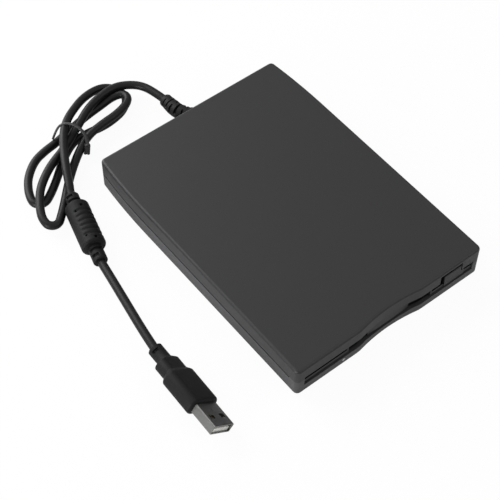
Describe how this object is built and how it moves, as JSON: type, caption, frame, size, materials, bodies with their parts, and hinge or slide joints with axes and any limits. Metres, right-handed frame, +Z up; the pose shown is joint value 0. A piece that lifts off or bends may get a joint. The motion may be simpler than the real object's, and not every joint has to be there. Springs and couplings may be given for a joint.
{
  "type": "external floppy disk drive",
  "caption": "Flat black desktop floppy drive with a full-width front slot, sprung dust flap, eject button and a tied, folded USB cord with a ferrite bead.",
  "frame": {"origin": "centre of the case's plan on the table, under the rubber feet", "axes": "+X to the right seen from the slot, +Y to the rear where the cord leaves, +Z up"},
  "size_m": [0.1463, 0.1904, 0.0172],
  "materials": {
    "case_plastic": "fine matt moulded grain",
    "case_tray": "fine matt moulded grain",
    "flap_plastic": "smooth moulded",
    "button_plastic": "smooth moulded",
    "clear_pipe": "frosted clear moulding",
    "black_screw": "black zinc",
    "foot_rubber": "matt",
    "zinc_sheet": "zinc plated sheet",
    "shield_sheet": "rolled sheet",
    "spring_steel": "drawn wire",
    "bright_steel": "ground",
    "lever_plastic": "natural acetal",
    "board_green": "solder mask",
    "copper": "enamelled copper wire",
    "bearing_bronze": "sintered bronze",
    "magnet": "bonded ferrite",
    "carriage_plastic": "filled moulding",
    "head_ceramic": "lapped ceramic",
    "motor_can": "drawn can",
    "chip_epoxy": "moulded epoxy",
    "ribbon": "flexible flat cable",
    "header_nylon": "nylon",
    "lamp_epoxy": "green lamp",
    "cord_black": "soft extruded jacket",
    "overmould_black": "soft overmould",
    "tie_plastic": "coated wire",
    "shell_nickel": "bright nickel plate",
    "tongue_plastic": "pale moulding",
    "contact_gold": "gold flash"
  },
  "bodies": {
    "case": {"top_cover": "case_plastic", "bottom_cover": "case_tray", "light_pipe": "clear_pipe", "case_screws": "black_screw", "rubber_feet": "foot_rubber", "chassis_frame": "zinc_sheet", "shield_plate": "shield_sheet", "chassis_screws": "black_screw", "flap_spring": "spring_steel", "eject_springs": "spring_steel", "latch_post": "bright_steel", "motor_board": "board_green", "motor_bearing": "bearing_bronze", "motor_coils": "copper", "guide_rod": "bright_steel", "rod_blocks": "lever_plastic", "stepper_bracket": "zinc_sheet", "stepper_motor": "motor_can", "sense_switches": "chip_epoxy", "main_board": "board_green", "main_chips": "chip_epoxy", "usb_board": "board_green", "usb_chip": "chip_epoxy", "cord_header": "header_nylon", "ribbon_cable": "ribbon", "activity_lamp": "lamp_epoxy", "strain_relief": "overmould_black", "cord_lead": "cord_black", "cord_hank": "cord_black", "twist_tie": "tie_plastic", "cord_to_bead": "cord_black", "ferrite_bead": "overmould_black", "cord_to_plug": "cord_black", "plug_grip": "overmould_black", "plug_shell": "shell_nickel", "plug_tongue": "tongue_plastic", "plug_contacts": "contact_gold"},
    "flap": {"dust_flap": "flap_plastic"},
    "slide": {"eject_slide_plate": "zinc_sheet", "eject_button": "button_plastic"},
    "cradle": {"disk_cradle": "zinc_sheet", "cradle_pins": "bright_steel"},
    "lever": {"latch_lever": "lever_plastic"},
    "spindle": {"rotor": "zinc_sheet", "magnet_ring": "magnet", "spindle_shaft": "bright_steel", "hub_plate": "bright_steel", "drive_pin": "lever_plastic"},
    "carriage": {"head_carriage": "carriage_plastic", "lower_head": "head_ceramic"},
    "head_arm": {"upper_arm": "carriage_plastic", "upper_head": "head_ceramic", "arm_pin": "bright_steel"},
    "lead_screw": {"lead_screw": "bright_steel"},
    "protect_plunger": {"protect_plunger": "lever_plastic"},
    "density_plunger": {"density_plunger": "lever_plastic"}
  },
  "joints": [
    {"name": "flap_open", "type": "hinge", "parent": "case", "child": "flap", "pos_m": [0, -0.0682, 0.0116], "axis": [1, 0, 0], "range_deg": [0, 92], "stiffness_Nm_per_rad": 0.0006, "springref_deg": -22.92, "deforming": ["flap_spring"]},
    {"name": "eject_slide", "type": "slide", "parent": "case", "child": "slide", "axis": [0, -1, 0], "range_m": [0, 0.004], "deforming": ["eject_springs"]},
    {"name": "cradle_drop", "type": "slide", "parent": "case", "child": "cradle", "axis": [0, 0, -1], "range_m": [0, 0.00175]},
    {"name": "latch_turn", "type": "hinge", "parent": "case", "child": "lever", "pos_m": [-0.041, 0.04, 0.007], "axis": [0, 0, 1], "range_deg": [0, 14]},
    {"name": "head_arm_lower", "type": "hinge", "parent": "carriage", "child": "head_arm", "pos_m": [0, 0.045, 0.0106], "axis": [1, 0, 0], "range_deg": [0, 7]},
    {"name": "spindle_spin", "type": "hinge", "parent": "case", "child": "spindle", "pos_m": [0, -0.0215, 0.004], "axis": [0, 0, 1], "continuous": true},
    {"name": "carriage_travel", "type": "slide", "parent": "case", "child": "carriage", "axis": [0, -1, 0], "range_m": [0, 0.0148]},
    {"name": "lead_screw_turn", "type": "hinge", "parent": "case", "child": "lead_screw", "pos_m": [-0.01, 0.04, 0.007], "axis": [0, 1, 0], "range_deg": [0, 1776]},
    {"name": "protect_switch", "type": "slide", "parent": "case", "child": "protect_plunger", "axis": [0, 0, -1], "range_m": [0, 0.0007], "stiffness_N_per_m": 300, "springref_m": -0.001},
    {"name": "density_switch", "type": "slide", "parent": "case", "child": "density_plunger", "axis": [0, 0, -1], "range_m": [0, 0.0007], "stiffness_N_per_m": 300, "springref_m": -0.001}
  ],
  "couplings": [
    {"joint": "cradle_drop", "follows": "eject_slide", "ratio": 0.4375},
    {"joint": "latch_turn", "follows": "eject_slide", "rad_per_m": 61.087},
    {"joint": "head_arm_lower", "follows": "eject_slide", "rad_per_m": 30.543},
    {"joint": "lead_screw_turn", "follows": "carriage_travel", "rad_per_m": 2094.4}
  ]
}
